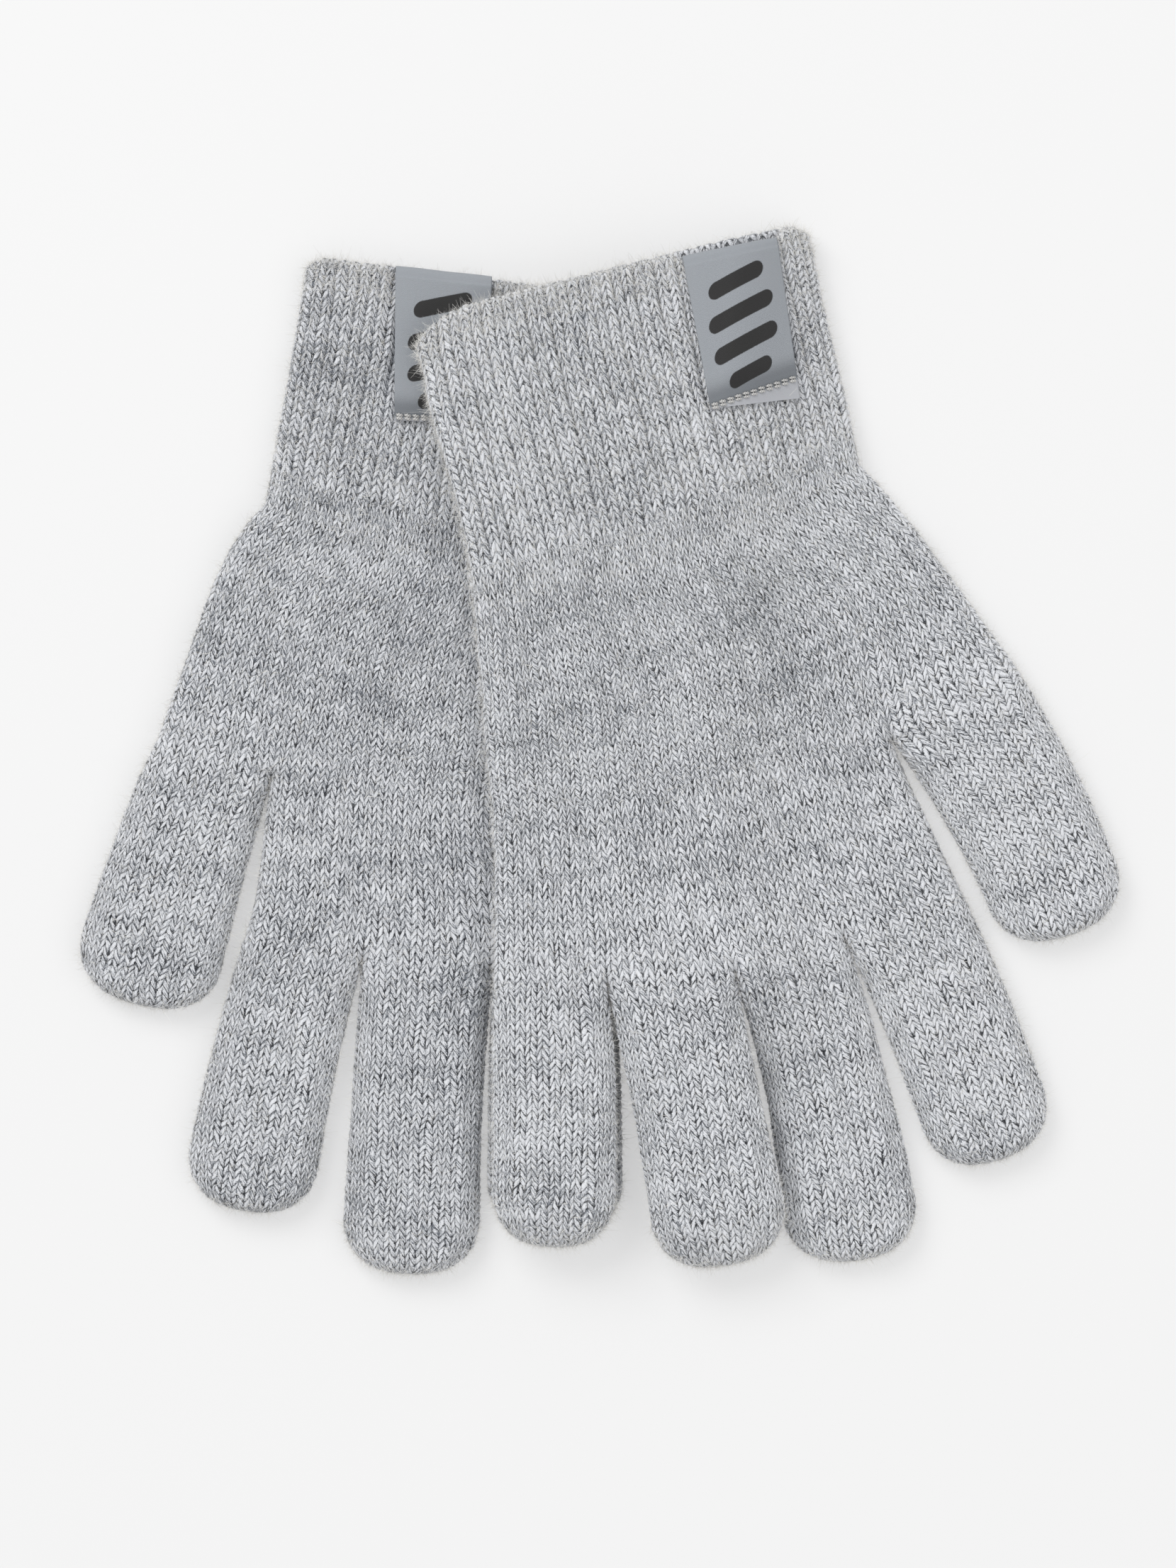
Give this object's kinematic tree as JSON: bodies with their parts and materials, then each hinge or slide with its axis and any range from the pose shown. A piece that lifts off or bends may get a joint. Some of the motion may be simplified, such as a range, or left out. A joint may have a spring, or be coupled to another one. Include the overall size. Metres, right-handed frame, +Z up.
{
  "type": "pair of touchscreen gloves",
  "caption": "Knitted grey touchscreen gloves laid flat, one partly over the other, with ribbed cuffs, folded cuff labels and fingers that fold at the knuckle line.",
  "frame": {"origin": "middle of the pair's footprint on the table, in the plane it lies on", "axes": "+X to the side where the right glove's thumb points, +Y from the fingertips to the cuffs, +Z up from the table"},
  "size_m": [0.2252, 0.2266, 0.018],
  "materials": {
    "knit_left": "melange plain knit, two-ply yarn, slightly fuzzy",
    "knit_right": "melange plain knit, two-ply yarn, slightly fuzzy",
    "conductive_knit": "the same melange knit with a conductive fibre in the yarn",
    "label_tape": "satin woven tape with a black print",
    "label_thread": "dull off-white sewing thread, two plies"
  },
  "bodies": {
    "left_glove": {"left_cuff": "knit_left", "left_palm": "knit_left", "left_label": "label_tape", "left_label_stitching": "label_thread"},
    "right_glove": {"right_cuff": "knit_right", "right_palm": "knit_right", "right_label": "label_tape", "right_label_stitching": "label_thread"},
    "left_thumb_unit": {"left_thumb": "knit_left", "left_thumb_touch_tip": "conductive_knit"},
    "left_index_unit": {"left_index_finger": "knit_left", "left_index_touch_tip": "conductive_knit"},
    "left_middle_unit": {"left_middle_finger": "knit_left"},
    "left_ring_unit": {"left_ring_finger": "knit_left"},
    "left_little_unit": {"left_little_finger": "knit_left"},
    "right_thumb_unit": {"right_thumb": "knit_right", "right_thumb_touch_tip": "conductive_knit"},
    "right_index_unit": {"right_index_finger": "knit_right", "right_index_touch_tip": "conductive_knit"},
    "right_middle_unit": {"right_middle_finger": "knit_right"},
    "right_ring_unit": {"right_ring_finger": "knit_right"},
    "right_little_unit": {"right_little_finger": "knit_right"}
  },
  "joints": [
    {"name": "right_glove_lift", "type": "slide", "parent": "left_glove", "child": "right_glove", "axis": [0, 0, 1], "range_m": [0, 0.15]},
    {"name": "left_thumb_fold", "type": "hinge", "parent": "left_glove", "child": "left_thumb_unit", "pos_m": [-0.08551, -0.00127, 0.008], "axis": [-0.9455, 0.3256, 0], "range_deg": [0, 75]},
    {"name": "left_index_fold", "type": "hinge", "parent": "left_glove", "child": "left_index_unit", "pos_m": [-0.0653, -0.04152, 0.008], "axis": [-0.9641, 0.2656, 0], "range_deg": [0, 90]},
    {"name": "left_middle_fold", "type": "hinge", "parent": "left_glove", "child": "left_middle_unit", "pos_m": [-0.03877, -0.04608, 0.008], "axis": [-0.9969, 0.0785, 0], "range_deg": [0, 90]},
    {"name": "left_ring_fold", "type": "hinge", "parent": "left_glove", "child": "left_ring_unit", "pos_m": [-0.01126, -0.04718, 0], "axis": [-1, 0, 0], "range_deg": [-75, 0]},
    {"name": "left_little_fold", "type": "hinge", "parent": "left_glove", "child": "left_little_unit", "pos_m": [0.01427, -0.04508, 0], "axis": [-0.9851, -0.1719, 0], "range_deg": [-75, 0]},
    {"name": "right_thumb_fold", "type": "hinge", "parent": "right_glove", "child": "right_thumb_unit", "pos_m": [0.07546, 0.00974, 0.008], "axis": [-0.8763, -0.4818, 0], "range_deg": [0, 75]},
    {"name": "right_index_fold", "type": "hinge", "parent": "right_glove", "child": "right_index_unit", "pos_m": [0.06425, -0.03497, 0.008], "axis": [-0.9265, -0.3762, 0], "range_deg": [0, 90]},
    {"name": "right_middle_fold", "type": "hinge", "parent": "right_glove", "child": "right_middle_unit", "pos_m": [0.03932, -0.04248, 0.0171], "axis": [-0.9816, -0.1908, 0], "range_deg": [0, 90]},
    {"name": "right_ring_fold", "type": "hinge", "parent": "right_glove", "child": "right_ring_unit", "pos_m": [0.01357, -0.04748, 0.0171], "axis": [-0.9816, -0.1908, 0], "range_deg": [0, 90]},
    {"name": "right_little_fold", "type": "hinge", "parent": "right_glove", "child": "right_little_unit", "pos_m": [-0.01201, -0.05008, 0.0171], "axis": [-1, 0, 0], "range_deg": [0, 90]}
  ]
}
